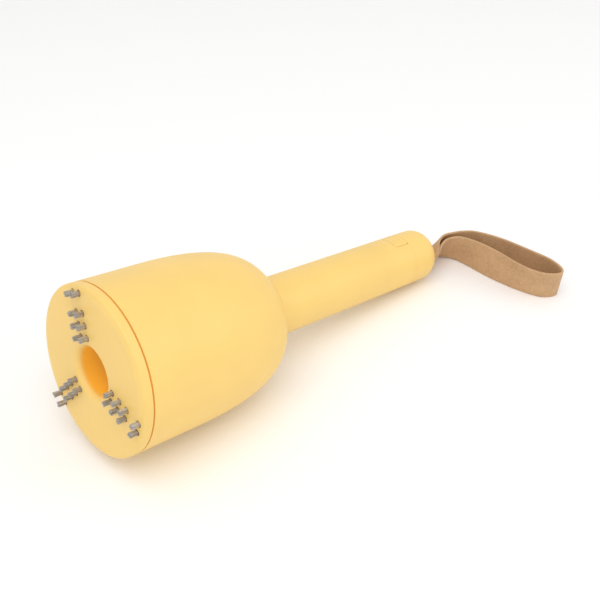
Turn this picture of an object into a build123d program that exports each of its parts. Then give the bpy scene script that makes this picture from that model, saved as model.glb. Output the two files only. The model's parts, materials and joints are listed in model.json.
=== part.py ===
"""Cordless hand vacuum for crumbs: a bell-shaped head, a round brush nozzle and a tube handle."""

import os
from math import asin, atan2, cos, degrees, hypot, pi, radians, sin, sqrt, tan

from build123d import *

os.makedirs("parts", exist_ok=True)

# Overall sizes, in mm. Stations run along the tool's axis, from the nozzle's flat face.
head_radius = 42.0
handle_root_radius = 16.0
handle_end_radius = 15.1
end_rounding = 9.3

# Nozzle cap
face_thickness = 2.4
face_edge_width = 4.2
band_width = 3.5
band_drop = 0.7
rim_station = 5.2
groove_width = 0.9
groove_depth = 1.6
skirt_length = 9.0
skirt_wall = 1.8
skirt_clearance = 0.3
mouth_radius = 12.2
mouth_lip = 3.3
spout_wall = 1.8
spout_end = 20.0

# Brush tufts on the nozzle face
arm_count = 3
arm_turn = -19.9
tuft_row_starts = (5.0, 10.9, 16.8)
outer_tuft_inset = 3.7
tuft_pair_gap = 5.2
tuft_radius = 1.45
tuft_hole_clearance = 0.2
bristle_height = 4.7
strand_radius = 0.3
carrier_thickness = 1.4
carrier_margin = 1.0
plate_gap = 0.05
retainer_thickness = 1.2
retainer_edge_gap = 0.4
screw_circle_inset = 16.0

# Seal ring on the cap's skirt
seal_width = 1.5
seal_depth = 0.85
seal_bite = 0.15
seal_station = 10.5
seal_fit = 0.1
seal_rounding = 0.35

# Head shell
shell_wall = 2.3
bell_straight_end = 37.8
bell_draft = 0.34
bell_end_station = 100.0
vent_count = 48
vent_width = 1.2
vent_inner_gap = 3.6
vent_outer_gap = 11.8
bore_through_radius = 14.0
ledge_height = 2.0
ledge_depth = 1.9

# Dust filter
filter_station = 40.0
filter_rim_height = 6.0
filter_rim_wall = 1.8
filter_play = 0.5
filter_spoke_width = 2.0
filter_spokes = 6
filter_hub_radius = 5.0
filter_pad_thickness = 3.2
knob_radius = 4.0
knob_height = 5.0

# Partition that carries the fan and motor
partition_station = 48.5
partition_thickness = 2.5
fixed_play = 0.6
eye_radius = 13.0
eye_bars = 4
boss_radius = 3.0
boss_inset = 6.6
boss_height = 9.0
post_radius = 2.4
post_inset = 10.2
post_height = 18.0
screw_radius = 1.25
screw_clearance = 0.3
screw_head_radius = 2.3
screw_head_height = 1.5
screw_length = 8.0
screw_pilot_gap = 0.04
pilot_bite = 1.2

# Fan and motor
fan_inset = 15.0
fan_plate = 1.2
fan_blades = 9
fan_blade_wall = 1.1
fan_blade_height = 9.0
fan_gap = 3.0
fan_hub_radius = 4.0
shaft_radius = 1.15
shaft_running_gap = 0.05
shaft_insertion = 12.0
mount_plate = 2.5
mount_disc_radius = 14.0
mount_arm_width = 8.0
motor_radius = 12.0
motor_length = 27.0
motor_fit = 0.1
motor_boss_radius = 3.0
motor_boss_height = 1.6
motor_cap_length = 3.0

# Handle tube
handle_bore = 13.0
spigot_length = 8.0
spigot_gap = 0.1
lock_ring_width = 4.2
lock_ring_height = 4.0
divider_thickness = 2.5
wire_hole_radius = 2.0
seam_chamfer = 0.25

# Power cells and their tray
cell_radius = 7.25
cell_length = 50.5
cell_nipple_radius = 2.75
cell_nipple_height = 1.0
cell_rounding = 0.4
cell_drop = 4.2
cell_play = 0.2
cell_count = 2
contact_room = 4.2
tray_end_wall = 1.2
tray_wall = 1.1
tray_end_gap = 6.8
contact_thickness = 0.5
contact_width = 8.0
contact_foot = 4.0
contact_touch = 3.0
contact_bend = 2.6

# Switch, its board and the push button
board_height = 5.0
board_thickness = 1.2
board_width = 16.0
board_length = 26.0
board_end_gap = 1.8
rail_height = 1.2
rail_reach = 2.0
switch_size = 6.0
switch_height = 3.5
plunger_radius = 1.7
plunger_gap = 0.05
plunger_stand = 2.2
button_length = 10.1
button_width = 10.9
button_corner = 1.4
button_gap = 0.25
button_travel = 0.8
button_flange = 1.2
button_flange_thickness = 0.7
button_flange_gap = 0.3
button_symbol = 3.6
button_symbol_line = 0.35
button_symbol_depth = 0.15

# End cap, its insert and the strap
cap_wall = 2.5
insert_depth = 1.6
end_cap_length = 22.2
insert_thickness = 2.2
insert_fit = 0.1
tab_length = 7.4
tab_wall = 0.9
tab_width = 3.8
tab_inset = 0.15
tab_angles = (65, 180, 295)
strap_width = 20.0
strap_thickness = 1.3
strap_slot_gap = 0.3
strap_tail = 11.0
strap_pin_radius = 1.5
strap_pin_gap = 0.2
strap_twist_length = 20.0
loop_near_x = 30.4
loop_width = 13.2
loop_reach = 69.4


def bezier(points, t):
    """Point at t on a cubic curve through control points given as (radius, station)."""
    w = ((1 - t) ** 3, 3 * t * (1 - t) ** 2, 3 * t**2 * (1 - t), t**3)
    return tuple(sum(k * p[i] for k, p in zip(w, points)) for i in (0, 1))


# What follows from the sizes above, first along the axis and then across it.
mouth_station = rim_station + groove_width
divider_end = bell_end_station + divider_thickness
cells_start = divider_end + tray_end_wall + contact_room
cells_end = cells_start + cell_count * cell_length
insert_station = cells_end + contact_thickness
seam_station = insert_station - insert_depth
tool_length = seam_station + end_cap_length
face_flat_radius = head_radius - face_edge_width
outer_tuft_row = head_radius - outer_tuft_inset
tuft_rows = tuple(mouth_radius + start for start in tuft_row_starts) + (outer_tuft_row,)
screw_circle = head_radius - screw_circle_inset
vent_inner_radius = handle_root_radius + vent_inner_gap
vent_outer_radius = handle_root_radius + vent_outer_gap
boss_circle = head_radius - boss_inset
post_circle = head_radius - post_inset
fan_radius = head_radius - fan_inset

# The head's outline: a slightly drafted barrel, then a shoulder that turns in to the handle.
barrel_end_radius = head_radius - bell_draft
dome_length = bell_end_station - bell_straight_end
dome_outer = (
    (barrel_end_radius, bell_straight_end),
    (barrel_end_radius - 0.3, bell_straight_end + 0.743 * dome_length),
    (0.756 * barrel_end_radius, bell_end_station - 0.9),
    (handle_root_radius, bell_end_station),
)
dome_inner = (
    (barrel_end_radius - shell_wall, bell_straight_end),
    (barrel_end_radius - 0.3 - shell_wall, bell_straight_end + 0.718 * dome_length),
    (0.756 * barrel_end_radius - 0.6 * shell_wall, bell_end_station - 0.9 - shell_wall),
    (handle_root_radius, bell_end_station - shell_wall),
)
shoulder = [bezier(dome_outer, n / 400) for n in range(401)]


def reach_down(point, lean):
    """How far a point of the outline lies below the nozzle's centre when the tool leans by an angle."""
    return point[0] * cos(lean) + point[1] * sin(lean)


def lying_angle():
    """Lean at which the head's shoulder and the handle's rounded end touch one floor."""
    low, high = 0.0, radians(60)
    end_centre = (handle_end_radius - end_rounding, tool_length - end_rounding)
    while high - low > 1e-12:
        lean = (low + high) / 2
        head = max(reach_down(p, lean) for p in shoulder)
        if head > reach_down(end_centre, lean) + end_rounding:
            low = lean
        else:
            high = lean
    return low


lean = lying_angle()
front_height = max(reach_down(p, lean) for p in shoulder)

# The strap's loop stands on its edge on the floor, to one side of the handle's end.
strap_end_x = loop_near_x + loop_width + strap_thickness / 2
tuft_tip_x = bristle_height * cos(lean) + (tuft_rows[-1] + tuft_radius) * sin(lean)
length_on_floor = tool_length * cos(lean)
origin_x = (tuft_tip_x - length_on_floor - strap_end_x) / 2
origin_y = (loop_reach + strap_thickness / 2 - head_radius) / 2

tool = Plane(
    (origin_x, origin_y, front_height),
    x_dir=(sin(lean), 0, cos(lean)),
    z_dir=(cos(lean), 0, -sin(lean)),
)
section = Plane(tool.origin, x_dir=tool.x_dir, z_dir=-tool.y_dir)
tool_axis = Axis(tool.origin, tool.z_dir)


def handle_radius(station):
    """Outer radius of the tapered handle at a station."""
    share = (station - bell_end_station) / (tool_length - bell_end_station)
    return handle_root_radius + share * (handle_end_radius - handle_root_radius)


def ring(inner, outer, start, end):
    """Revolves a plain ring or disc about the tool's axis."""
    with BuildSketch(section) as outline:
        with BuildLine():
            Polyline((inner, start), (outer, start), (outer, end), (inner, end), close=True)
        make_face()
    revolve(outline.sketch, axis=tool_axis)


def post(x, y, radius, start, end, mode=Mode.ADD):
    """A round post or hole along the tool's axis."""
    with BuildSketch(tool.offset(start)) as outline:
        with Locations((x, y)):
            Circle(radius)
    extrude(outline.sketch, amount=end - start, mode=mode)


def around(radius, count, turn=0.0):
    """Points evenly spaced on a circle about the tool's axis."""
    angles = [radians(turn + 360 * n / count) for n in range(count)]
    return [(radius * cos(a), radius * sin(a)) for a in angles]


def tufts(arm):
    """Centres of the tufts of one arm: a pair on each row."""
    middle = radians(arm_turn + 360 * arm / arm_count)
    across = tuft_pair_gap / 2
    out, along = (cos(middle), sin(middle)), (-sin(middle), cos(middle))
    return [
        (r * out[0] + side * across * along[0], r * out[1] + side * across * along[1])
        for r in tuft_rows
        for side in (-1, 1)
    ]


def arm_plane(arm, station):
    """Plane at a station whose x axis points out along one brush arm."""
    middle = radians(arm_turn + 360 * arm / arm_count)
    outward = tool.x_dir * cos(middle) + tool.y_dir * sin(middle)
    return Plane(tool.from_local_coords((0, 0, station)), x_dir=outward, z_dir=tool.z_dir)


# Nozzle cap: flat face with a rolled mouth, a rim above a narrow groove, and a skirt in the head.
skirt_radius = head_radius - shell_wall - skirt_clearance
collar_radius = head_radius - groove_depth
skirt_end = mouth_station + skirt_length
spout_radius = mouth_radius + spout_wall
tuft_hole = tuft_radius + tuft_hole_clearance
retainer_station = face_thickness + plate_gap + carrier_thickness + plate_gap
retainer_screws = around(screw_circle, arm_count, arm_turn + 180 / arm_count)
carrier_station = face_thickness + plate_gap
carrier_inner = tuft_rows[0] - tuft_radius - carrier_margin / 2
carrier_outer = tuft_rows[-1] + tuft_radius + carrier_margin / 4
carrier_length = carrier_outer - carrier_inner
carrier_middle = (carrier_outer + carrier_inner) / 2
carrier_width = tuft_pair_gap + 2 * tuft_radius + carrier_margin
with BuildPart() as nozzle_cap:
    with BuildSketch(section):
        with BuildLine():
            lip_end = (mouth_radius + mouth_lip, 0)
            lip = RadiusArc((mouth_radius, mouth_lip), lip_end, -mouth_lip)
            face = Line(lip @ 1, (face_flat_radius, 0))
            band_end = (face_flat_radius + band_width, band_drop)
            band = TangentArc(face @ 1, band_end, tangent=(1, 0))
            edge_drop = (head_radius - band_end[0]) * 1.5
            edge = TangentArc(band_end, (head_radius, band_drop + edge_drop), tangent=band % 1)
            Polyline(
                edge @ 1,
                (head_radius, rim_station),
                (collar_radius, rim_station),
                (collar_radius, mouth_station),
                (skirt_radius, mouth_station),
                (skirt_radius, skirt_end),
                (skirt_radius - skirt_wall, skirt_end),
                (skirt_radius - skirt_wall, face_thickness),
                (spout_radius, face_thickness),
                (spout_radius, spout_end),
                (mouth_radius, spout_end),
                lip @ 0,
            )
        make_face()
    revolve(axis=tool_axis)
    for x, y in retainer_screws:
        post(x, y, boss_radius, face_thickness - 0.5, retainer_station)
        pilot_start = face_thickness - pilot_bite
        post(x, y, screw_radius + screw_pilot_gap, pilot_start, retainer_station, Mode.SUBTRACT)
    with BuildSketch(section):
        with Locations((skirt_radius, seal_station)):
            Rectangle(2 * (seal_depth + seal_fit), seal_width + 2 * seal_fit)
    revolve(axis=tool_axis, mode=Mode.SUBTRACT)
    with BuildSketch(tool):
        for arm in range(arm_count):
            with Locations(*tufts(arm)):
                Circle(tuft_hole)
    extrude(amount=face_thickness + 1, mode=Mode.SUBTRACT)
    for arm in range(arm_count):
        with BuildSketch(arm_plane(arm, face_thickness)):
            with Locations((carrier_middle, 0)):
                RectangleRounded(
                    carrier_length + 4 * plate_gap,
                    carrier_width + 4 * plate_gap,
                    carrier_margin + 2 * plate_gap,
                )
        extrude(amount=retainer_station - face_thickness, mode=Mode.SUBTRACT)
nozzle_cap.part.label = "nozzle_cap"
export_step(nozzle_cap.part, "parts/nozzle_cap.step")

# Seal ring: a flat bead with rounded corners.
with BuildPart() as cap_seal:
    with BuildSketch(section):
        with Locations((skirt_radius - seal_depth / 2 + seal_bite / 2, seal_station)):
            RectangleRounded(seal_depth + seal_bite, seal_width, seal_rounding)
    revolve(axis=tool_axis)
cap_seal.part.label = "cap_seal"
export_step(cap_seal.part, "parts/cap_seal.step")

# Brush arms: nylon strands fused to a carrier that lies behind the nozzle's face.
strand_rings = ((0.0, 1), (0.58, 5), (1.13, 10))
for arm in range(arm_count):
    centres = tufts(arm)
    with BuildPart() as brush_arm:
        with BuildSketch(arm_plane(arm, carrier_station)):
            with Locations((carrier_middle, 0)):
                RectangleRounded(carrier_length, carrier_width, carrier_margin)
        extrude(amount=carrier_thickness)
        for n, (x, y) in enumerate(centres):
            with BuildSketch(tool.offset(carrier_station + carrier_thickness / 2)):
                for k, (out, count) in enumerate(strand_rings):
                    for m in range(count):
                        a = 2 * pi * (m + 0.31 * k + 0.17 * n) / count
                        with Locations((x + out * cos(a), y + out * sin(a))):
                            RegularPolygon(strand_radius, 3, rotation=degrees(a) + 37 * m)
            height = bristle_height + 0.12 * sin(2.3 * n + arm)
            extrude(amount=-(carrier_station + carrier_thickness / 2 + height))
    brush_arm.part.label = f"brush_arm_{arm + 1}"
    export_step(brush_arm.part, f"parts/brush_arm_{arm + 1}.step")

# Retainer: a ring that clamps the brush carriers against the face, with its three screws.
with BuildPart() as brush_retainer:
    ring(
        spout_radius + retainer_edge_gap,
        skirt_radius - skirt_wall - retainer_edge_gap,
        retainer_station,
        retainer_station + retainer_thickness,
    )
    for x, y in retainer_screws:
        post(
            x,
            y,
            screw_radius + screw_clearance,
            retainer_station - 1,
            retainer_station + retainer_thickness + 1,
            Mode.SUBTRACT,
        )
brush_retainer.part.label = "brush_retainer"
export_step(brush_retainer.part, "parts/brush_retainer.step")

for n, (x, y) in enumerate(retainer_screws):
    with BuildPart() as screw:
        under_head = retainer_station + retainer_thickness
        post(x, y, screw_radius, face_thickness - 0.8, under_head)
        post(x, y, screw_head_radius, under_head, under_head + screw_head_height)
    screw.part.label = f"retainer_screw_{n + 1}"
    export_step(screw.part, f"parts/retainer_screw_{n + 1}.step")

# Head shell: barrel and dome in one moulding, with a ledge and screw bosses for the partition.
bore_radius = head_radius - shell_wall
ledge_start = partition_station + partition_thickness
partition_bosses = around(boss_circle, 3, 0)
partition_posts = around(post_circle, 3, 60)
with BuildPart() as head_shell:
    with BuildSketch(section):
        with BuildLine():
            outer = Bezier(*dome_outer)
            inner = Bezier(*dome_inner)
            Polyline(
                inner @ 0,
                (bore_radius, mouth_station + 1),
                (bore_radius, mouth_station),
                (head_radius, mouth_station),
                outer @ 0,
            )
            Polyline(
                outer @ 1,
                (bore_through_radius, bell_end_station),
                (bore_through_radius, bell_end_station - shell_wall),
                inner @ 1,
            )
        make_face()
    revolve(axis=tool_axis)
    ledge_wall = barrel_end_radius - shell_wall / 2
    ring(barrel_end_radius - shell_wall - ledge_depth, ledge_wall, ledge_start, ledge_start + ledge_height)
    for x, y in partition_bosses:
        post(x, y, boss_radius, ledge_start, ledge_start + boss_height)
        post(x, y, screw_radius + screw_pilot_gap, ledge_start, ledge_start + boss_height, Mode.SUBTRACT)
    vent_middle = (vent_inner_radius + vent_outer_radius) / 2
    with BuildSketch(tool.offset(bell_end_station + 2)):
        with PolarLocations(vent_middle, vent_count):
            SlotOverall(vent_outer_radius - vent_inner_radius, vent_width)
    extrude(amount=-(dome_length / 3), mode=Mode.SUBTRACT)
head_shell.part.label = "head_shell"
export_step(head_shell.part, "parts/head_shell.step")

# Dust filter: a spoked frame with a knob, and its pleated pad behind the spokes.
filter_radius = dome_inner[0][0] - filter_play
filter_pad_station = filter_station + filter_rim_height - filter_pad_thickness
with BuildPart() as filter_frame:
    filter_end = filter_station + filter_rim_height
    ring(filter_radius - filter_rim_wall, filter_radius, filter_station, filter_end)
    with BuildSketch(tool.offset(filter_station)):
        Circle(filter_hub_radius)
        with PolarLocations(filter_radius / 2, filter_spokes):
            Rectangle(filter_radius - filter_rim_wall / 2, filter_spoke_width)
    extrude(amount=filter_rim_height - filter_pad_thickness)
    with BuildSketch(tool.offset(filter_station)):
        Circle(knob_radius)
    extrude(amount=-knob_height, taper=-8)
filter_frame.part.label = "filter_frame"
export_step(filter_frame.part, "parts/filter_frame.step")

pleats = 12
pleat_depth = 1.0
with BuildPart() as filter_pad:
    pad_radius = filter_radius - filter_rim_wall
    ring(0, pad_radius, filter_pad_station + pleat_depth, filter_pad_station + filter_pad_thickness)
    pitch = 2 * pad_radius / (pleats + 1)
    for n in range(pleats):
        x = (n - (pleats - 1) / 2) * pitch
        chord = 2 * sqrt(pad_radius**2 - (abs(x) + pitch / 2) ** 2)
        with BuildSketch(tool.offset(filter_pad_station)):
            with Locations((x, 0)):
                Rectangle(pitch * 0.55, chord - 1)
        extrude(amount=pleat_depth)
filter_pad.part.label = "filter_pad"
export_step(filter_pad.part, "parts/filter_pad.step")

# Partition: a disc on the head's ledge, with the fan's barred eye and posts for the motor mount.
with BuildPart() as partition:
    ring(eye_radius, dome_inner[0][0] - fixed_play, partition_station, ledge_start)
    with BuildSketch(tool.offset(partition_station)):
        with Locations(*around(0, 1)):
            for bar in range(eye_bars):
                Rectangle(2 * eye_radius + 1, 1.4, rotation=180 * bar / eye_bars)
        Circle(3.2)
    extrude(amount=partition_thickness / 2)
    for x, y in partition_posts:
        post(x, y, post_radius, ledge_start, ledge_start + post_height)
    for x, y in partition_bosses:
        post(x, y, screw_radius + screw_clearance, partition_station - 1, ledge_start + 1, Mode.SUBTRACT)
partition.part.label = "partition"
export_step(partition.part, "parts/partition.step")

for n, (x, y) in enumerate(partition_bosses):
    with BuildPart() as screw:
        post(x, y, screw_radius, partition_station, partition_station + screw_length)
        post(x, y, screw_head_radius, partition_station - screw_head_height, partition_station)
    screw.part.label = f"partition_screw_{n + 1}"
    export_step(screw.part, f"parts/partition_screw_{n + 1}.step")

# Motor mount: a three-armed plate on the partition's posts.
mount_station = ledge_start + post_height
with BuildPart() as motor_mount:
    with BuildSketch(tool.offset(mount_station)):
        Circle(mount_disc_radius)
        with PolarLocations(post_circle / 2, 3, start_angle=60):
            Rectangle(post_circle, mount_arm_width)
        with Locations(*partition_posts):
            Circle(mount_arm_width / 2)
        Circle(motor_boss_radius + motor_fit, mode=Mode.SUBTRACT)
    extrude(amount=mount_plate)
motor_mount.part.label = "motor_mount"
export_step(motor_mount.part, "parts/motor_mount.step")

# Motor: a can with a front boss round the shaft, and a moulded rear cap.
motor_station = mount_station + mount_plate
shaft_bore = shaft_radius + shaft_running_gap
shaft_end = motor_station + shaft_insertion
with BuildPart() as motor_can:
    ring(0, motor_radius, motor_station, motor_station + motor_length - motor_cap_length)
    ring(0, motor_boss_radius, motor_station - motor_boss_height, motor_station)
    for side in (-1, 1):
        with BuildSketch(tool.offset(motor_station)):
            with Locations((side * (motor_radius + 2), 0)):
                Rectangle(5.2, 2 * motor_radius)
        extrude(amount=motor_length - motor_cap_length, mode=Mode.SUBTRACT)
    post(0, 0, shaft_bore, motor_station - motor_boss_height - 1, shaft_end + 0.5, Mode.SUBTRACT)
motor_can.part.label = "motor_can"
export_step(motor_can.part, "parts/motor_can.step")

with BuildPart() as motor_cap:
    cap_start = motor_station + motor_length - motor_cap_length
    post(0, 0, motor_radius - 0.8, cap_start, cap_start + motor_cap_length)
    with BuildSketch(tool.offset(cap_start + 1)):
        with Locations((0, motor_radius), (0, -motor_radius)):
            Rectangle(3, 3)
    extrude(amount=1.2, mode=Mode.SUBTRACT)
motor_cap.part.label = "motor_cap"
export_step(motor_cap.part, "parts/motor_cap.step")

# Fan: a plate with backward-curved blades and a hub on the motor's shaft.
fan_top = ledge_start + fan_gap
fan_base = fan_top + fan_blade_height
shaft_start = fan_top - 0.5
with BuildPart() as fan:
    ring(0, fan_radius, fan_base, fan_base + fan_plate)
    ring(0, fan_hub_radius, fan_top, fan_base)
    with BuildSketch(tool.offset(fan_top)) as blades:
        with BuildLine():
            start = (fan_hub_radius + 4, 0)
            end = ((fan_radius - 0.6) * cos(0.9), (fan_radius - 0.6) * sin(0.9))
            sweep_line = RadiusArc(start, end, -0.75 * fan_radius)
        trace(line_width=fan_blade_wall)
    with BuildSketch(tool.offset(fan_top)):
        with PolarLocations(0, fan_blades):
            add(blades.sketch_local)
    extrude(amount=fan_blade_height)
    post(0, 0, shaft_radius, fan_top - 1, fan_base + fan_plate + 1, Mode.SUBTRACT)
fan.part.label = "fan"
export_step(fan.part, "parts/fan.step")

with BuildPart() as motor_shaft:
    post(0, 0, shaft_radius, shaft_start, shaft_end)
motor_shaft.part.label = "motor_shaft"
export_step(motor_shaft.part, "parts/motor_shaft.step")

# Handle tube: a slender taper with a spigot through the dome, a divider, rails and a notch.
spigot_radius = bore_through_radius - spigot_gap
spigot_start = bell_end_station - spigot_length
motor_socket = motor_radius + motor_fit
button_start = seam_station - button_gap - button_length
button_middle = button_start + button_length / 2
flange_top = handle_bore - 0.4
with BuildPart() as handle_tube:
    with BuildSketch(section):
        with BuildLine():
            Polyline(
                (motor_socket, spigot_start),
                (spigot_radius, spigot_start),
                (spigot_radius, bell_end_station),
                (handle_root_radius, bell_end_station),
                (handle_radius(seam_station), seam_station),
                (handle_bore, seam_station),
                (handle_bore, divider_end),
                (wire_hole_radius, divider_end),
                (wire_hole_radius, bell_end_station),
                (motor_socket, bell_end_station),
                close=True,
            )
        make_face()
    revolve(axis=tool_axis)
    for side in (-1, 1):
        with BuildSketch(tool.offset(divider_end)):
            rail_edge = sqrt(handle_bore**2 - board_height**2) + 0.6
            rail_middle = side * (rail_edge - rail_reach / 2 - 1)
            with Locations((board_height - rail_height / 2, rail_middle)):
                Rectangle(rail_height, rail_reach + 2)
        extrude(amount=seam_station - tray_end_gap - divider_end)
    with BuildSketch(tool.offset(button_start - button_flange - 0.6)):
        with Locations((flange_top - 1.0, 0)):
            Rectangle(2.6, button_width + 2 * button_flange + 1.2)
    extrude(amount=button_length + button_flange + 2, mode=Mode.SUBTRACT)
    with BuildSketch(Plane(tool.origin, x_dir=tool.z_dir, z_dir=tool.x_dir)):
        with Locations((button_middle + 2, 0)):
            RectangleRounded(
                button_length + 2 * button_gap + 4,
                button_width + 2 * button_gap,
                button_corner + button_gap,
            )
    extrude(amount=2 * handle_bore, mode=Mode.SUBTRACT)
handle_tube.part.label = "handle_tube"
export_step(handle_tube.part, "parts/handle_tube.step")

# Lock ring: holds the handle's spigot from inside the dome.
with BuildPart() as lock_ring:
    lock_end = bell_end_station - shell_wall - 0.3
    ring(spigot_radius + 0.05, spigot_radius + lock_ring_width, lock_end - lock_ring_height, lock_end)
    with BuildSketch(tool.offset(lock_end - lock_ring_height)):
        with PolarLocations(spigot_radius + lock_ring_width, 12):
            Circle(1.0)
    extrude(amount=lock_ring_height, mode=Mode.SUBTRACT)
lock_ring.part.label = "lock_ring"
export_step(lock_ring.part, "parts/lock_ring.step")

# Power cells, end to end and low in the handle, in a trough-shaped tray.
for n in range(cell_count):
    start = cells_start + n * cell_length
    with BuildPart() as power_cell:
        post(-cell_drop, 0, cell_radius, start + cell_nipple_height, start + cell_length)
        fillet(power_cell.edges().filter_by(GeomType.CIRCLE), cell_rounding)
        post(-cell_drop, 0, cell_nipple_radius, start, start + cell_nipple_height)
    power_cell.part.label = f"power_cell_{n + 1}"
    export_step(power_cell.part, f"parts/power_cell_{n + 1}.step")

tray_bore = cell_radius + cell_play
tray_radius = tray_bore + tray_wall
with BuildPart() as cell_tray:
    with BuildSketch(tool.offset(divider_end)):
        with Locations((-cell_drop, 0)):
            Circle(tray_radius)
            Circle(tray_bore, mode=Mode.SUBTRACT)
        with Locations((2 * tray_radius - cell_drop + 1.5, 0)):
            Rectangle(4 * tray_radius, 4 * tray_radius, mode=Mode.SUBTRACT)
    extrude(amount=seam_station - tray_end_gap - divider_end)
    with BuildSketch(tool.offset(divider_end)):
        with Locations((-cell_drop, 0)):
            Circle(tray_bore)
        with Locations((2 * tray_radius - cell_drop + 1.5, 0)):
            Rectangle(4 * tray_radius, 4 * tray_radius, mode=Mode.SUBTRACT)
    extrude(amount=tray_end_wall)
cell_tray.part.label = "cell_tray"
export_step(cell_tray.part, "parts/cell_tray.step")

# Front contact: a folded leaf between the tray's end wall and the first cell.
leaf_foot = divider_end + tray_end_wall + contact_thickness / 2
leaf_top = cells_start - contact_thickness / 2
leaf_turn = contact_bend - cell_drop
with BuildPart() as front_contact:
    with BuildSketch(section):
        with BuildLine():
            foot = Line((-contact_foot - cell_drop, leaf_foot), (leaf_turn, leaf_foot))
            turn_middle = (leaf_turn + (leaf_top - leaf_foot) / 2, (leaf_foot + leaf_top) / 2)
            turn = ThreePointArc(foot @ 1, turn_middle, (leaf_turn, leaf_top))
            Line(turn @ 1, (-contact_touch - cell_drop, leaf_top))
        trace(line_width=contact_thickness)
    extrude(amount=contact_width / 2, both=True)
front_contact.part.label = "front_contact"
export_step(front_contact.part, "parts/front_contact.step")

# Switch board on the tube's rails, with the switch under the button.
board_end = seam_station - board_end_gap
lengthwise = Plane(tool.origin, x_dir=tool.z_dir, z_dir=tool.x_dir)
with BuildPart() as switch_board:
    with BuildSketch(lengthwise.offset(board_height)):
        with Locations((board_end - board_length / 2, 0)):
            RectangleRounded(board_length, board_width, 1.0)
    extrude(amount=board_thickness)
switch_board.part.label = "switch_board"
export_step(switch_board.part, "parts/switch_board.step")

switch_base = board_height + board_thickness
switch_top = switch_base + switch_height
with BuildPart() as tact_switch:
    with BuildSketch(lengthwise.offset(switch_base)):
        with Locations((button_middle, 0)):
            Rectangle(switch_size, switch_size)
    extrude(amount=switch_height)
    chamfer(tact_switch.faces().sort_by(Axis(tool.origin, tool.x_dir))[-1].edges(), 0.3)
    with BuildSketch(lengthwise.offset(switch_top)):
        with Locations((button_middle, 0)):
            Circle(plunger_radius + plunger_gap)
    extrude(amount=-(button_travel + 1.6), mode=Mode.SUBTRACT)
tact_switch.part.label = "tact_switch"
export_step(tact_switch.part, "parts/tact_switch.step")

flange_base = switch_top + plunger_stand
with BuildPart() as switch_plunger:
    with BuildSketch(lengthwise.offset(switch_top - 1.5)):
        with Locations((button_middle, 0)):
            Circle(plunger_radius)
    extrude(amount=1.5 + plunger_stand)
switch_plunger.part.label = "switch_plunger"
export_step(switch_plunger.part, "parts/switch_plunger.step")

# Push button: follows the handle's curve, with a flange that keeps it in its notch.
with BuildPart() as push_button:
    with BuildSketch(section):
        with BuildLine():
            Polyline(
                (0, button_start - 5),
                (handle_radius(button_start - 5), button_start - 5),
                (handle_radius(seam_station + 5), seam_station + 5),
                (0, seam_station + 5),
                close=True,
            )
        make_face()
    revolve(axis=tool_axis)
    with BuildSketch(lengthwise.offset(flange_base)):
        with Locations((button_middle, 0)):
            RectangleRounded(button_length, button_width, button_corner)
    extrude(amount=handle_bore, mode=Mode.INTERSECT)
    with BuildSketch(lengthwise.offset(handle_radius(button_middle) - button_symbol_depth)):
        with Locations((button_middle, 0)):
            symbol_edge = button_symbol + button_symbol_line
            RectangleRounded(symbol_edge, symbol_edge, 1.0)
            RectangleRounded(
                button_symbol - button_symbol_line,
                button_symbol - button_symbol_line,
                0.7,
                mode=Mode.SUBTRACT,
            )
    extrude(amount=1, mode=Mode.SUBTRACT)
    with BuildSketch(lengthwise.offset(flange_base)):
        with Locations((button_middle - button_flange / 2, 0)):
            RectangleRounded(button_length + button_flange, button_width + 2 * button_flange, 0.8)
    extrude(amount=button_flange_thickness)
push_button.part.label = "push_button"
export_step(push_button.part, "parts/push_button.step")

# End cap: the handle's rounded end, with a slot for the strap and two bosses for its pin.
cap_bore = handle_bore - 0.3
pin_station = tool_length - strap_tail / 2 - cap_wall - 1.2
with BuildPart() as end_cap:
    with BuildSketch(section):
        with BuildLine():
            shelf = insert_station + insert_thickness
            side = Line(
                (handle_radius(seam_station) - seam_chamfer, seam_station),
                (handle_radius(seam_station), seam_station + seam_chamfer),
            )
            taper = Line(side @ 1, (handle_end_radius, tool_length - end_rounding))
            arc = RadiusArc(taper @ 1, (handle_end_radius - end_rounding, tool_length), -end_rounding)
            Polyline(
                arc @ 1,
                (0, tool_length),
                (0, tool_length - cap_wall),
                (handle_end_radius - end_rounding, tool_length - cap_wall),
                (cap_bore - 1.2, tool_length - end_rounding),
                (cap_bore - 1.2, shelf),
                (cap_bore, shelf),
                (cap_bore, seam_station),
                side @ 0,
            )
        make_face()
    revolve(axis=tool_axis)
    for side in (-1, 1):
        with BuildSketch(lengthwise.offset(side * (strap_thickness + 1.0))):
            with Locations((pin_station, 0)):
                Circle(strap_pin_radius + 1.6)
        extrude(amount=side * (cap_bore - strap_thickness - 1.0 - 0.9))
    with BuildSketch(lengthwise.offset(-cap_bore + 1.0)):
        with Locations((pin_station, 0)):
            Circle(strap_pin_radius + 0.05)
    extrude(amount=2 * cap_bore - 2, mode=Mode.SUBTRACT)
    with BuildSketch(tool.offset(tool_length - strap_tail - strap_slot_gap)):
        RectangleRounded(
            2 * (strap_thickness + strap_slot_gap),
            strap_width + 2 * strap_slot_gap,
            strap_thickness,
        )
    extrude(amount=strap_tail + cap_wall, mode=Mode.SUBTRACT)
end_cap.part.label = "end_cap"
export_step(end_cap.part, "parts/end_cap.step")

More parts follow.
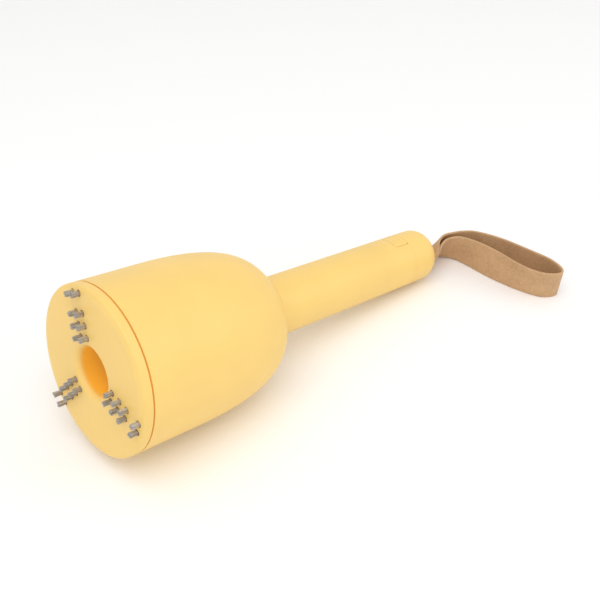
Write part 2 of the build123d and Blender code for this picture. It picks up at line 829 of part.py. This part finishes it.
# Insert: closes the cell bay, carries the rear contact and grips the tube with spring tabs.
with BuildPart() as cap_insert:
    insert_radius = cap_bore - insert_fit
    ring(0, insert_radius, insert_station, insert_station + insert_thickness)
    with BuildSketch(tool.offset(insert_station - tab_length)):
        for angle in tab_angles:
            with PolarLocations(insert_radius - tab_inset - tab_wall / 2, 1, start_angle=angle):
                Rectangle(tab_wall, tab_width)
    extrude(amount=tab_length)
cap_insert.part.label = "cap_insert"
export_step(cap_insert.part, "parts/cap_insert.step")

with BuildPart() as rear_contact:
    with BuildSketch(tool.offset(insert_station)):
        with Locations((-cell_drop, 0)):
            RectangleRounded(contact_width, contact_width + 3, 1.0)
    extrude(amount=-contact_thickness)
rear_contact.part.label = "rear_contact"
export_step(rear_contact.part, "parts/rear_contact.step")

with BuildPart() as strap_pin:
    with BuildSketch(lengthwise.offset(-cap_bore + 2.4)):
        with Locations((pin_station, 0)):
            Circle(strap_pin_radius)
    extrude(amount=2 * (cap_bore - 2.4))
strap_pin.part.label = "strap_pin"
export_step(strap_pin.part, "parts/strap_pin.step")

# Strap: two plies leave the slot flat, turn up on edge, and part into a loop that stands on the floor.
exit_point = tool.from_local_coords((0, 0, tool_length))
floor = Plane((exit_point.X, exit_point.Y, 0))
ply = strap_thickness
heading = radians(-25)
stem_end = (strap_twist_length, -1.2)
far_x = loop_near_x + loop_width
bend_y = -(loop_reach - loop_width / 2)
with BuildPart() as strap:
    with BuildSketch(tool.offset(tool_length - strap_tail)):
        Rectangle(2 * ply, strap_width)
    extrude(amount=strap_tail + 0.5)
    with BuildSketch(lengthwise.offset(-3)):
        with Locations((pin_station, 0)):
            Circle(strap_pin_radius + strap_pin_gap)
    extrude(amount=6, mode=Mode.SUBTRACT)
    stations = (
        (0.5 * cos(lean), 0.0, 0.0, 0.0),
        (0.33 * strap_twist_length, -0.05, 0.18, 22.0),
        (0.66 * strap_twist_length, -0.4, 0.55, 58.0),
        (stem_end[0], stem_end[1], 1.0, 90.0),
    )
    for x, y, share, turn in stations:
        rise = (1 - share) * exit_point.Z + share * strap_width / 2 - (0.5 * sin(lean) if share == 0 else 0)
        yaw = share * heading
        pitch = -(1 - share) * lean
        forward = Vector(cos(pitch) * cos(yaw), cos(pitch) * sin(yaw), sin(pitch))
        level = Vector(sin(yaw), -cos(yaw), 0)
        upward = forward.cross(level).normalized() * -1
        across = level * cos(radians(turn)) + upward * sin(radians(turn))
        centre = Vector(exit_point.X + x, exit_point.Y + y, rise)
        with BuildSketch(Plane(centre, x_dir=across, z_dir=forward)):
            Rectangle(strap_width, 2 * ply)
    loft()
    with BuildSketch(floor):
        with BuildLine():
            aim = (cos(heading), sin(heading))
            offset = (ply / 2 * sin(heading), ply / 2 * cos(heading))
            near_start = (stem_end[0] + offset[0], stem_end[1] - offset[1])
            far_start = (stem_end[0] - offset[0], stem_end[1] + offset[1])
            near = Spline(
                near_start,
                (loop_near_x - 5.0, -9.5),
                (loop_near_x - 1.9, -24.0),
                (loop_near_x - 0.8, -42.0),
                (loop_near_x, bend_y),
                tangents=[aim, (0.03, -1)],
            )
            bend_middle = (loop_near_x + loop_width / 2, -loop_reach)
            bend = ThreePointArc(near @ 1, bend_middle, (far_x, bend_y))
            Spline(
                bend @ 1,
                (far_x - 0.5, -48.0),
                (far_x - 3.0, -32.0),
                (far_x - 8.6, -17.0),
                far_start,
                tangents=[(0, 1), (-aim[0], -aim[1])],
            )
        trace(line_width=ply)
    extrude(amount=strap_width)
strap.part.label = "strap"
export_step(strap.part, "parts/strap.step")
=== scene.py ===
import json
import random
from math import atan2, cos, pi, radians, sin, sqrt

import bpy
from mathutils import Matrix, Vector


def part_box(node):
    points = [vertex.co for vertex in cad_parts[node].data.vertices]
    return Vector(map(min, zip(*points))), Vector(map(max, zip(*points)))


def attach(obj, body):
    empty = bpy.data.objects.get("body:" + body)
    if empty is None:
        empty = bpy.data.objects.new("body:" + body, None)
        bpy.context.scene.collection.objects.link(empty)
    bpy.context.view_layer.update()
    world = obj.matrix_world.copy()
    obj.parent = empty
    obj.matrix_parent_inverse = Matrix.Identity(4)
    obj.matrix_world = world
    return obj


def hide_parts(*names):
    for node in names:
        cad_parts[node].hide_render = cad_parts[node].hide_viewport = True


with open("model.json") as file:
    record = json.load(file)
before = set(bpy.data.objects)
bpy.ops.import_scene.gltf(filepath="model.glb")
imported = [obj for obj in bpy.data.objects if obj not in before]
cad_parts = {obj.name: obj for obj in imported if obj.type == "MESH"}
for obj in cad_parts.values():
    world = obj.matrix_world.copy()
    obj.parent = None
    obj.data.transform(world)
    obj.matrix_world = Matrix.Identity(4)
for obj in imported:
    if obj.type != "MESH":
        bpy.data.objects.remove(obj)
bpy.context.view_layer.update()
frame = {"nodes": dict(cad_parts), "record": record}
random.seed(11)

# the tool's own axes, read from the joints and the nozzle's face
record = frame["record"]
joints = {j["name"]: j for j in record["behaviour"]["joints"]}
mounts = {m["name"]: m for m in record["mounts"]}
axisDir = Vector(joints["fan_spin"]["axis"]).normalized()
topDir = -Vector(joints["button_press"]["axis"]).normalized()
sideDir = axisDir.cross(topDir)
axisPoint = Vector(joints["fan_spin"]["pos_m"])
facePoint = Vector(mounts["nozzle_face"]["pos_m"])
faceCentre = axisPoint + axisDir * (facePoint - axisPoint).dot(axisDir)


def toolPoint(top, side, station):
    return faceCentre + topDir * top + sideDir * side + axisDir * station


def clearSelection():
    if bpy.context.object and bpy.context.object.mode != "OBJECT":
        bpy.ops.object.mode_set(mode="OBJECT")
    bpy.ops.object.select_all(action="DESELECT")


def pick(piece):
    clearSelection()
    piece.select_set(True)
    bpy.context.view_layer.objects.active = piece


def applyAll(piece):
    pick(piece)
    for modifier in list(piece.modifiers):
        bpy.ops.object.modifier_apply(modifier=modifier.name)


# materials
class Nodes:
    # a small builder for one material's nodes
    def __init__(self, name):
        self.material = bpy.data.materials.new(name)
        self.material.use_nodes = True
        self.tree = self.material.node_tree
        self.shader = self.tree.nodes["Principled BSDF"]
        self.coords = self.tree.nodes.new("ShaderNodeTexCoord")

    def add(self, kind, **values):
        node = self.tree.nodes.new(kind)
        for key, value in values.items():
            setattr(node, key, value)
        return node

    def link(self, source, target):
        self.tree.links.new(source, target)

    def noise(self, scale, detail=3.0, stretch=None, roughness=0.55):
        mapping = self.add("ShaderNodeMapping")
        self.link(self.coords.outputs["Object"], mapping.inputs["Vector"])
        if stretch:
            mapping.inputs["Scale"].default_value = stretch
        texture = self.add("ShaderNodeTexNoise")
        texture.inputs["Scale"].default_value = scale
        texture.inputs["Detail"].default_value = detail
        texture.inputs["Roughness"].default_value = roughness
        self.link(mapping.outputs["Vector"], texture.inputs["Vector"])
        return texture.outputs["Fac"]

    def ramp(self, source, stops):
        node = self.add("ShaderNodeValToRGB")
        while len(node.color_ramp.elements) < len(stops):
            node.color_ramp.elements.new(0.5)
        for element, (place, colour) in zip(node.color_ramp.elements, stops):
            element.position = place
            element.color = (*colour, 1.0)
        self.link(source, node.inputs["Fac"])
        return node.outputs["Color"]

    def spread(self, source, low, high):
        node = self.add("ShaderNodeMapRange")
        node.inputs["To Min"].default_value = low
        node.inputs["To Max"].default_value = high
        self.link(source, node.inputs["Value"])
        return node.outputs["Result"]

    def bump(self, source, strength, distance, before=None):
        node = self.add("ShaderNodeBump")
        node.inputs["Strength"].default_value = strength
        node.inputs["Distance"].default_value = distance
        self.link(source, node.inputs["Height"])
        if before:
            self.link(before, node.inputs["Normal"])
        return node.outputs["Normal"]

    def shade(self, colour=None, roughness=None, normal=None, **fixed):
        if colour:
            self.link(colour, self.shader.inputs["Base Color"])
        if roughness:
            self.link(roughness, self.shader.inputs["Roughness"])
        if normal:
            self.link(normal, self.shader.inputs["Normal"])
        for key, value in fixed.items():
            self.shader.inputs[key].default_value = value
        return self.material


def tone(colour, factor):
    return tuple(min(1.0, c * factor) for c in colour)


def axisParts(n):
    # a point's station along the tool and its distance from the tool's axis
    away = n.add("ShaderNodeVectorMath", operation="SUBTRACT")
    n.link(n.coords.outputs["Object"], away.inputs[0])
    away.inputs[1].default_value = faceCentre
    station = n.add("ShaderNodeVectorMath", operation="DOT_PRODUCT")
    n.link(away.outputs["Vector"], station.inputs[0])
    station.inputs[1].default_value = axisDir
    across = n.add("ShaderNodeVectorMath", operation="CROSS_PRODUCT")
    n.link(away.outputs["Vector"], across.inputs[0])
    across.inputs[1].default_value = axisDir
    radius = n.add("ShaderNodeVectorMath", operation="LENGTH")
    n.link(across.outputs["Vector"], radius.inputs[0])
    return station.outputs["Value"], radius.outputs["Value"]


def paintedRecessShadeAndGlow(n, shade, look):
    # painted shade: the colour grows fuller, a deep orange, inside the mouth and in the
    # groove where those recesses are shaded, and there it adds a painted glow
    station, radius = axisParts(n)
    depth = n.add("ShaderNodeMapRange", interpolation_type="SMOOTHSTEP")
    depth.inputs["From Min"].default_value = look["paintedShadeStations"][0]
    depth.inputs["From Max"].default_value = look["paintedShadeStations"][1]
    n.link(station, depth.inputs["Value"])
    inside = n.add("ShaderNodeMath", operation="LESS_THAN")
    inside.inputs[1].default_value = look["within"]
    n.link(radius, inside.inputs[0])
    share = n.add("ShaderNodeMath", operation="MULTIPLY")
    n.link(depth.outputs["Result"], share.inputs[0])
    n.link(inside.outputs["Value"], share.inputs[1])
    mix = n.add("ShaderNodeMix", data_type="RGBA")
    n.link(share.outputs["Value"], mix.inputs["Factor"])
    n.link(shade, mix.inputs["A"])
    mix.inputs["B"].default_value = (*look["paintedRecessShade"], 1.0)
    # painted glow: the shaded recess emits a warm light though it is no lamp
    paintedGlow = n.spread(share.outputs["Value"], 0.0, look["paintedGlow"])
    n.link(paintedGlow, n.shader.inputs["Emission Strength"])
    n.shader.inputs["Emission Color"].default_value = (*look["paintedGlowColour"], 1.0)
    return mix.outputs["Result"]


plastics = {
    # name: colour, grain, roughness from and to, bump
    "shellYellow": ((0.900, 0.612, 0.180), 3200.0, (0.40, 0.50), 0.05),
    # the nozzle's copy of the same yellow, which gets painted shade and a painted glow in its
    # mouth and groove
    "nozzleYellowPaintedRecess": ((0.900, 0.612, 0.180), 3200.0, (0.40, 0.50), 0.05),
    "innerPlastic": ((0.72, 0.70, 0.64), 1800.0, (0.35, 0.5), 0.05),
    "fanPlastic": ((0.55, 0.56, 0.57), 1800.0, (0.3, 0.42), 0.05),
    "switchPlastic": ((0.03, 0.03, 0.032), 1500.0, (0.35, 0.5), 0.05),
    "boardGreen": ((0.02, 0.16, 0.07), 900.0, (0.25, 0.4), 0.12),
    "sealRubber": ((0.50, 0.22, 0.03), 2200.0, (0.6, 0.75), 0.2),
    "cellSleeve": ((0.05, 0.055, 0.06), 1500.0, (0.25, 0.35), 0.02),
}
plasticDetail = {
    "cloud": 26.0,
    "shades": (0.965, 1.03),
    "gloss": 90.0,
    "bumpDistance": 0.0002,
}
# the nozzle's painted recess shade and painted glow: the shaded colour, from and to which
# station, within which radius, and the glow's strength and colour
nozzlePaintedRecess = {
    "paintedRecessShade": (0.95, 0.43, 0.02),
    "paintedShadeStations": (0.0014, 0.0048),
    "within": 0.0412,
    "paintedGlow": 0.12,
    "paintedGlowColour": (1.0, 0.78, 0.15),
}


def mouldedPlastic(name, paintedRecessShade=None):
    colour, grain, roughness, bump = plastics[name]
    n = Nodes(name)
    cloud = n.noise(plasticDetail["cloud"], 4.0)
    fine = n.noise(grain, 2.0)
    low, high = (tone(colour, factor) for factor in plasticDetail["shades"])
    shade = n.ramp(cloud, [(0.30, low), (0.70, high)])
    if paintedRecessShade:
        # painted shade and painted glow in the recesses, for the nozzle only
        shade = paintedRecessShadeAndGlow(n, shade, paintedRecessShade)
    gloss = n.spread(n.noise(plasticDetail["gloss"], 5.0), *roughness)
    return n.shade(shade, gloss, n.bump(fine, bump, plasticDetail["bumpDistance"]))


looks = {name: mouldedPlastic(name) for name in plastics if name != "nozzleYellowPaintedRecess"}
# the nozzle's yellow, with painted shade and painted glow in its mouth and groove
looks["nozzleYellowPaintedRecess"] = mouldedPlastic("nozzleYellowPaintedRecess", nozzlePaintedRecess)


metals = {
    # name: colour, roughness
    "platedSteel": ((0.62, 0.62, 0.64), 0.28),
    "motorSteel": ((0.48, 0.49, 0.50), 0.38),
}


def platedMetal(name):
    colour, roughness = metals[name]
    n = Nodes(name)
    streaks = n.noise(420.0, 4.0, (1.0, 0.06, 1.0))
    shade = n.ramp(streaks, [(0.3, tone(colour, 0.85)), (0.7, colour)])
    gloss = n.spread(streaks, roughness * 0.8, roughness * 1.25)
    return n.shade(shade, gloss, n.bump(streaks, 0.06, 0.0002), Metallic=1.0)


looks.update({name: platedMetal(name) for name in metals})
cloth = {
    "fibres": 900.0,
    "stretch": (1.0, 0.3, 1.0),
    "dark": (0.70, 0.69, 0.66),
    "light": (0.86, 0.86, 0.84),
    "roughness": (0.8, 0.95),
}


def filterCloth():
    n = Nodes("filterCloth")
    fibres = n.noise(cloth["fibres"], 6.0, cloth["stretch"])
    shade = n.ramp(fibres, [(0.3, cloth["dark"]), (0.7, cloth["light"])])
    return n.shade(shade, n.spread(fibres, *cloth["roughness"]), n.bump(fibres, 0.5, 0.0004))


looks["filterCloth"] = filterCloth()
nylon = {
    "root": [(0.0, (0.42, 0.34, 0.25)), (0.5, (0.58, 0.49, 0.38)), (1.0, (0.74, 0.66, 0.54))],
    "tip": [(0.0, (0.34, 0.34, 0.34)), (1.0, (0.62, 0.61, 0.60))],
    "roughness": (0.35, 0.5),
}


def brushNylon():
    # strands read their own tint and how far up the tip a point is
    n = Nodes("brushNylon")
    tint = n.add("ShaderNodeAttribute", attribute_name="strandTint").outputs["Fac"]
    rise = n.add("ShaderNodeAttribute", attribute_name="strandRise").outputs["Fac"]
    mix = n.add("ShaderNodeMix", data_type="RGBA")
    n.link(rise, mix.inputs["Factor"])
    n.link(n.ramp(tint, nylon["root"]), mix.inputs["A"])
    n.link(n.ramp(tint, nylon["tip"]), mix.inputs["B"])
    return n.shade(mix.outputs["Result"], n.spread(tint, *nylon["roughness"]))


looks["brushNylon"] = brushNylon()
kraft = {
    "fibres": 700.0,
    "fibreShare": 0.55,
    "blotches": 60.0,
    "blotchShare": 0.45,
    "grain": 1500.0,
    "colours": [
        (0.30, (0.43, 0.255, 0.125)),
        (0.50, (0.56, 0.345, 0.18)),
        (0.72, (0.66, 0.43, 0.24)),
    ],
    "roughness": (0.72, 0.88),
}


def kraftStrap():
    n = Nodes("kraftStrap")
    fibres = n.noise(kraft["fibres"], 6.0, (1.0, 1.0, 1.0), 0.65)
    blotch = n.noise(kraft["blotches"], 4.0)
    mix = n.add("ShaderNodeMath", operation="MULTIPLY_ADD")
    mix.inputs[1].default_value = kraft["fibreShare"]
    n.link(fibres, mix.inputs[0])
    n.link(n.spread(blotch, 0.0, kraft["blotchShare"]), mix.inputs[2])
    shade = n.ramp(mix.outputs["Value"], kraft["colours"])
    grain = n.bump(n.noise(kraft["grain"], 5.0), 0.25, 0.0002)
    normal = n.bump(fibres, 0.35, 0.0005, grain)
    return n.shade(shade, n.spread(fibres, *kraft["roughness"]), normal)


looks["kraftStrap"] = kraftStrap()

nodeLooks = {
    "nozzle_cap": "nozzleYellowPaintedRecess",
    "head_shell": "shellYellow",
    "handle_tube": "shellYellow",
    "push_button": "shellYellow",
    "end_cap": "shellYellow",
    "cap_seal": "sealRubber",
    "filter_pad": "filterCloth",
    "fan": "fanPlastic",
    "motor_can": "motorSteel",
    "tact_switch": "switchPlastic",
    "switch_plunger": "switchPlastic",
    "switch_board": "boardGreen",
    "power_cell_1": "cellSleeve",
    "power_cell_2": "cellSleeve",
    "motor_shaft": "platedSteel",
    "strap": "kraftStrap",
    "strap_pin": "platedSteel",
    "front_contact": "platedSteel",
    "rear_contact": "platedSteel",
}
for name, node in frame["nodes"].items():
    look = nodeLooks.get(name, "platedSteel" if "screw" in name else "innerPlastic")
    if name.startswith("brush_arm"):
        look = "brushNylon"
    node.data.materials.clear()
    node.data.materials.append(looks[look])
print("materials on", len(frame["nodes"]), "nodes")

# brush tufts
brush = {
    "arms": 3,
    "turn": -19.9,
    "rows": (0.0172, 0.0231, 0.0290, 0.0383),
    "pairGap": 0.0052,
    "tuftRadius": 0.00142,
    "strands": 46,
    "strandWidth": 0.00026,
    "strandSides": 5,
    "height": 0.0041,
    "root": 0.0030,
    "splay": 0.07,
    "splayCurve": 1.35,
    "cuts": (0.45, 0.75, 0.95),
    "tipFrom": 0.97,
    "tipShare": 0.45,
    "packing": 0.86,
    "turnStep": 0.7,
    "wander": 0.35,
    "tallness": (0.93, 1.03),
    "tipCurve": 2.2,
}


def makeStrand():
    # one nylon strand, tapered at its tip
    clearSelection()
    length = brush["height"] + brush["root"]
    bpy.ops.mesh.primitive_cylinder_add(
        vertices=brush["strandSides"],
        radius=brush["strandWidth"] / 2,
        depth=length,
        location=(0, 0, length / 2),
    )
    strand = bpy.context.object
    bpy.ops.object.transform_apply(location=True)
    bpy.ops.object.mode_set(mode="EDIT")
    for share in brush["cuts"]:
        bpy.ops.mesh.select_all(action="SELECT")
        bpy.ops.mesh.bisect(plane_co=(0, 0, length * share), plane_no=(0, 0, 1))
    bpy.ops.object.mode_set(mode="OBJECT")
    for v in strand.data.vertices:
        if v.co.z > length * brush["tipFrom"]:
            v.co.x *= brush["tipShare"]
            v.co.y *= brush["tipShare"]
    return strand


def makeTuft(strand, index):
    # strands packed in a round bundle that fans out a little
    root, height = brush["root"], brush["height"]
    curve = brush["splayCurve"]
    places = []
    for k in range(brush["strands"]):
        out = brush["tuftRadius"] * brush["packing"] * sqrt((k + 0.5) / brush["strands"])
        angle = k * pi * (3 - sqrt(5)) + index * brush["turnStep"]
        places.append((out * cos(angle), out * sin(angle)))
    verts, faces, tint, rise = [], [], [], []
    for x, y in places:
        fan = 0.6 + 0.6 * random.random()
        lean = brush["splay"] * fan * sqrt(x * x + y * y) / brush["tuftRadius"]
        turn = atan2(y, x) + random.uniform(-brush["wander"], brush["wander"])
        tall = random.uniform(*brush["tallness"])
        shade = random.random()
        first = len(verts)
        for v in strand.data.vertices:
            up = v.co.z * tall
            bend = lean * max(0.0, up - root) ** curve / height ** (curve - 1)
            side = (x + v.co.x + bend * cos(turn), y + v.co.y + bend * sin(turn))
            verts.append((*side, up))
            tint.append(shade)
            rise.append(max(0.0, min(1.0, (up - root) / height)) ** brush["tipCurve"])
        for p in strand.data.polygons:
            faces.append([first + i for i in p.vertices])
    return verts, faces, tint, rise


def brushArm(arm):
    strand = makeStrand()
    middle = radians(brush["turn"] + 360 / brush["arms"] * arm)
    verts, faces, tint, rise = [], [], [], []
    for row, radius in enumerate(brush["rows"]):
        for side in (-1, 1):
            across = side * brush["pairGap"] / 2
            top = radius * cos(middle) - across * sin(middle)
            left = radius * sin(middle) + across * cos(middle)
            root = toolPoint(top, left, brush["root"])
            tv, tf, tt, tr = makeTuft(strand, arm * 8 + row * 2 + side)
            first = len(verts)
            for x, y, z in tv:
                verts.append(root + topDir * x + sideDir * y - axisDir * z)
            faces += [[first + i for i in f] for f in tf]
            tint += tt
            rise += tr
    bpy.data.objects.remove(strand)
    mesh = bpy.data.meshes.new(f"brushArm{arm + 1}")
    mesh.from_pydata([tuple(v) for v in verts], [], faces)
    mesh.attributes.new("strandTint", "FLOAT", "POINT").data.foreach_set("value", tint)
    mesh.attributes.new("strandRise", "FLOAT", "POINT").data.foreach_set("value", rise)
    piece = bpy.data.objects.new(f"brushArm{arm + 1}", mesh)
    bpy.context.scene.collection.objects.link(piece)
    pick(piece)
    bpy.ops.object.mode_set(mode="EDIT")
    bpy.ops.mesh.select_all(action="SELECT")
    bpy.ops.mesh.normals_make_consistent(inside=False)
    bpy.ops.object.mode_set(mode="OBJECT")
    mesh.materials.append(looks["brushNylon"])
    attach(piece, "nozzle")
    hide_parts(f"brush_arm_{arm + 1}")


for arm in range(brush["arms"]):
    brushArm(arm)
print("brush tufts")

# strap
# one strip: out of the slot as the top ply, round the loop and back in as the bottom ply;
# each row is the top edge and the bottom edge, in mm from the handle's end, z from the floor
strap = {
    "ply": 0.0013,
    "edge": 0.0003,
    "edgeAngle": 50,
    "steps": 6,
    "across": 10,
    "unit": 0.001,
    "rows": (
        ((-7.9, -10.0, 15.5), (-7.9, 10.0, 15.5)),
        ((0.3, -10.0, 14.2), (0.3, 10.0, 14.2)),
        ((5.0, -8.2, 17.0), (5.0, 9.3, 7.4)),
        ((10.0, -3.9, 18.2), (9.8, 8.4, 2.9)),
        ((16.5, -1.9, 18.9), (16.8, 6.0, 1.0)),
        ((22.0, -4.5, 19.7), (22.6, 1.4, 0.6)),
        ((27.9, -8.1, 20.0), (27.7, -6.6, 0.2)),
        ((33.2, -13.9, 20.0), (33.1, -13.5, 0.1)),
        ((38.2, -27.6, 20.0), (38.2, -27.4, 0.1)),
        ((41.0, -46.8, 20.0), (41.3, -46.6, 0.1)),
        ((42.4, -60.5, 19.9), (42.9, -59.5, 0.1)),
        ((41.0, -69.0, 19.8), (42.8, -66.5, 0.1)),
        ((38.3, -73.2, 19.8), (41.2, -70.1, 0.1)),
        ((34.9, -74.0, 19.8), (38.6, -70.4, 0.1)),
        ((31.5, -72.0, 19.8), (35.7, -69.2, 0.1)),
        ((27.6, -67.2, 19.8), (32.0, -65.8, 0.1)),
        ((25.0, -59.0, 19.9), (29.2, -59.5, 0.1)),
        ((24.7, -49.0, 19.9), (26.6, -49.0, 0.1)),
        ((25.6, -37.6, 19.9), (24.9, -37.0, 0.1)),
        ((25.5, -27.0, 19.9), (24.4, -25.5, 0.1)),
        ((24.5, -19.2, 19.8), (24.4, -15.5, 0.3)),
        ((22.9, -13.0, 19.6), (23.6, -7.2, 0.6)),
        ((20.0, -8.4, 19.3), (20.2, -0.8, 1.0)),
        ((15.0, -5.4, 18.0), (15.4, 3.6, 1.0)),
        ((10.0, -6.2, 16.4), (10.0, 7.0, 2.0)),
        ((5.0, -8.8, 14.4), (5.0, 8.2, 4.9)),
        ((0.3, -10.0, 12.9), (0.3, 10.0, 12.9)),
        ((-7.9, -10.0, 14.2), (-7.9, 10.0, 14.2)),
    ),
}
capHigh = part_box("end_cap")[1]
handleEnd = Vector((capHigh[0], faceCentre.y, 0.0))


def alongRows(rows, share):
    # both edges at a share of the strip's length, on a smooth curve through the rows
    place = share * (len(rows) - 1)
    k = min(int(place), len(rows) - 2)
    t = place - k
    near = [rows[max(0, min(len(rows) - 1, k + n))] for n in (-1, 0, 1, 2)]
    weights = (
        -0.5 * t + t * t - 0.5 * t**3,
        1 - 2.5 * t * t + 1.5 * t**3,
        0.5 * t + 2 * t * t - 1.5 * t**3,
        -0.5 * t * t + 0.5 * t**3,
    )
    edges = []
    for edge in (0, 1):
        point = Vector((0, 0, 0))
        for weight, row in zip(weights, near):
            point += Vector(row[edge]) * weight
        edges.append(point * strap["unit"])
    return edges


def strapBand():
    rows = strap["rows"]
    clearSelection()
    bpy.ops.mesh.primitive_grid_add(
        x_subdivisions=(len(rows) - 1) * strap["steps"],
        y_subdivisions=strap["across"],
        size=1.0,
    )
    band = bpy.context.object
    band.name = "strapBand"
    for v in band.data.vertices:
        top, bottom = alongRows(rows, v.co.x + 0.5)
        v.co = handleEnd + top.lerp(bottom, v.co.y + 0.5)
    body = band.modifiers.new("ply", "SOLIDIFY")
    body.thickness = strap["ply"]
    body.offset = 0.0
    edges = band.modifiers.new("edge", "BEVEL")
    edges.width = strap["edge"]
    edges.segments = 2
    edges.limit_method = "ANGLE"
    edges.angle_limit = radians(strap["edgeAngle"])
    applyAll(band)
    bpy.ops.object.shade_smooth()
    band.data.materials.append(looks["kraftStrap"])
    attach(band, "handle_end")
    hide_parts("strap")


strapBand()
print("strap")

# floor, light and camera
camera = {
    "target": (-0.0033, 0.0129, 0.0281),
    "azimuth": -42.0,
    "elevation": 37.05,
    "roll": 0.08,
    "distance": 0.5124,
    "lens": 57.0,
    "sensor": 36.0,
    "nearest": 0.01,
}
lens = bpy.data.cameras.new("camera")
eye = bpy.data.objects.new("camera", lens)
bpy.context.scene.collection.objects.link(eye)
azimuth, elevation = radians(camera["azimuth"]), radians(camera["elevation"])
back = Vector(
    (sin(azimuth) * cos(elevation), -cos(azimuth) * cos(elevation), sin(elevation))
)
eye.location = Vector(camera["target"]) + back * camera["distance"]
aim = back.to_track_quat("Z", "Y").to_matrix().to_4x4()
roll = Matrix.Rotation(radians(camera["roll"]), 4, "Z")
eye.matrix_world = Matrix.Translation(eye.location) @ aim @ roll
lens.lens = camera["lens"]
lens.sensor_width = camera["sensor"]
lens.clip_start = camera["nearest"]
bpy.context.scene.camera = eye

studio = {
    "floorSize": 2.4,
    "floorColour": (0.985, 0.985, 0.985),
    "floorRoughness": 0.9,
    "fill": 0.72,
    "lamps": (
        # name, place, size, watts, colour
        ("keyLamp", (-0.5, -0.35, 1.3), 1.2, 8.6, (1.0, 0.99, 0.97)),
        ("sideLamp", (0.9, -1.0, 0.8), 1.0, 3.0, (1.0, 1.0, 1.0)),
    ),
}
clearSelection()
bpy.ops.mesh.primitive_plane_add(size=studio["floorSize"], location=(0, 0, 0))
floor = bpy.context.object
floor.name = "floor"
paper = Nodes("floorPaper")
low, high = tone(studio["floorColour"], 0.995), studio["floorColour"]
shade = paper.ramp(paper.noise(3.0, 2.0), [(0.3, low), (0.7, high)])
floor.data.materials.append(paper.shade(shade, Roughness=studio["floorRoughness"]))

world = bpy.data.worlds.new("studio")
bpy.context.scene.world = world
world.use_nodes = True
tree = world.node_tree
sky = tree.nodes["Background"]
path = tree.nodes.new("ShaderNodeLightPath")
# white to the camera, to reflections and through glass, softer as a light
white = path.outputs["Is Camera Ray"]
for ray in ("Is Glossy Ray", "Is Transmission Ray"):
    either = tree.nodes.new("ShaderNodeMath")
    either.operation = "MAXIMUM"
    tree.links.new(white, either.inputs[0])
    tree.links.new(path.outputs[ray], either.inputs[1])
    white = either.outputs[0]
level = tree.nodes.new("ShaderNodeMapRange")
level.inputs["To Min"].default_value = studio["fill"]
level.inputs["To Max"].default_value = 1.0
tree.links.new(white, level.inputs["Value"])
tree.links.new(level.outputs["Result"], sky.inputs["Strength"])
sky.inputs["Color"].default_value = (1, 1, 1, 1)
for name, place, size, watts, colour in studio["lamps"]:
    lamp = bpy.data.lights.new(name, "AREA")
    lamp.size = size
    lamp.energy = watts
    lamp.color = colour
    holder = bpy.data.objects.new(name, lamp)
    bpy.context.scene.collection.objects.link(holder)
    holder.location = place
    toLamp = Vector(place) - Vector(camera["target"])
    holder.rotation_euler = toLamp.to_track_quat("Z", "Y").to_euler()
bpy.context.scene.view_settings.view_transform = "Standard"
print("studio ready")
